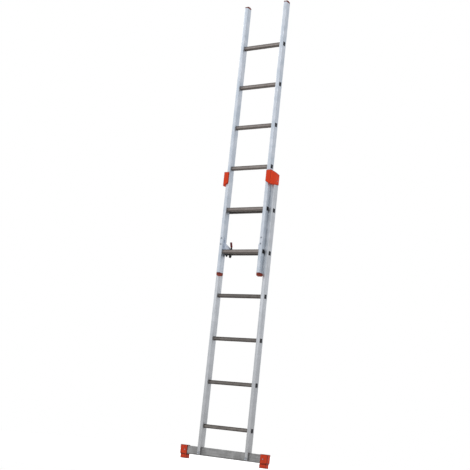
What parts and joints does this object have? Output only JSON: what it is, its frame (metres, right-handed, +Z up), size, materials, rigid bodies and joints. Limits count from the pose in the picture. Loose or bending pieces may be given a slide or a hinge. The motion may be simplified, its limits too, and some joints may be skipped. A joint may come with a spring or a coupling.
{
  "type": "two-section push-up extension ladder",
  "caption": "Two-section aluminium push-up ladder with box stiles and square rungs, orange guides and end caps, latching rung hooks and a stabiliser bar on rubber-soled feet.",
  "frame": {"origin": "on the floor, midway between the two feet and midway through the ladder's depth, with the ladder upright and fully raised", "axes": "+Z up along the stiles, -Y the climbing side where the upper section runs, +X to the climber's right"},
  "size_m": [0.6556, 0.1017, 3.0423],
  "materials": {
    "stile_aluminium": "extruded, mill finish with fine lines along the length",
    "rung_aluminium": "ribbed extrusion, dull dark grey",
    "orange_plastic": "moulded, satin with a fine texture",
    "red_plastic": "dipped sleeve, satin",
    "black_rubber": "matt",
    "zinc_steel": "zinc plated",
    "black_steel": "blackened"
  },
  "bodies": {
    "lower_section": {"lower_stile_left": "stile_aluminium", "lower_stile_right": "stile_aluminium", "stabiliser_bar": "stile_aluminium", "lower_rung_1": "rung_aluminium", "lower_rung_2": "rung_aluminium", "lower_rung_3": "rung_aluminium", "lower_rung_4": "rung_aluminium", "lower_rung_5": "rung_aluminium", "lower_rung_6": "rung_aluminium", "stile_guide_left": "orange_plastic", "stile_guide_right": "orange_plastic", "stabiliser_foot_left": "orange_plastic", "stabiliser_foot_right": "orange_plastic", "bar_bolt_left": "zinc_steel", "bar_bolt_right": "zinc_steel", "bar_nut_left": "zinc_steel", "bar_nut_right": "zinc_steel", "foot_screw_left": "zinc_steel", "foot_screw_right": "zinc_steel", "guide_screw_left": "zinc_steel", "guide_screw_right": "zinc_steel"},
    "upper_section": {"upper_stile_left": "stile_aluminium", "upper_stile_right": "stile_aluminium", "upper_rung_1": "rung_aluminium", "upper_rung_2": "rung_aluminium", "upper_rung_3": "rung_aluminium", "upper_rung_4": "rung_aluminium", "upper_rung_5": "rung_aluminium", "upper_rung_6": "rung_aluminium", "upper_foot_cap_left": "orange_plastic", "upper_foot_cap_right": "orange_plastic", "upper_top_cap_left": "orange_plastic", "upper_top_cap_right": "orange_plastic", "hook_tip_front_left": "black_rubber", "hook_tip_front_right": "black_rubber", "hook_tip_back_left": "black_rubber", "hook_tip_back_right": "black_rubber", "rung_hook_left": "zinc_steel", "rung_hook_right": "zinc_steel", "latch_pin_left": "zinc_steel", "latch_pin_right": "zinc_steel", "latch_spring_left": "zinc_steel", "latch_spring_right": "zinc_steel", "hook_bolt_left_1": "zinc_steel", "hook_bolt_left_2": "zinc_steel", "hook_bolt_right_1": "zinc_steel", "hook_bolt_right_2": "zinc_steel"},
    "latch_left": {"latch_lever_left": "black_steel", "latch_grip_left": "red_plastic"},
    "latch_right": {"latch_lever_right": "black_steel", "latch_grip_right": "red_plastic"}
  },
  "joints": [
    {"name": "section_slide", "type": "slide", "parent": "lower_section", "child": "upper_section", "axis": [0, 0, 1], "range_m": [-1.12, 0]},
    {"name": "latch_pivot_left", "type": "hinge", "parent": "upper_section", "child": "latch_left", "pos_m": [-0.1189, 0.04175, 1.3585], "axis": [1, 0, 0], "range_deg": [0, 35], "stiffness_Nm_per_rad": 0.08, "springref_deg": -34.38},
    {"name": "latch_pivot_right", "type": "hinge", "parent": "upper_section", "child": "latch_right", "pos_m": [0.1189, 0.04175, 1.3585], "axis": [1, 0, 0], "range_deg": [0, 35], "stiffness_Nm_per_rad": 0.08, "springref_deg": -34.38}
  ]
}
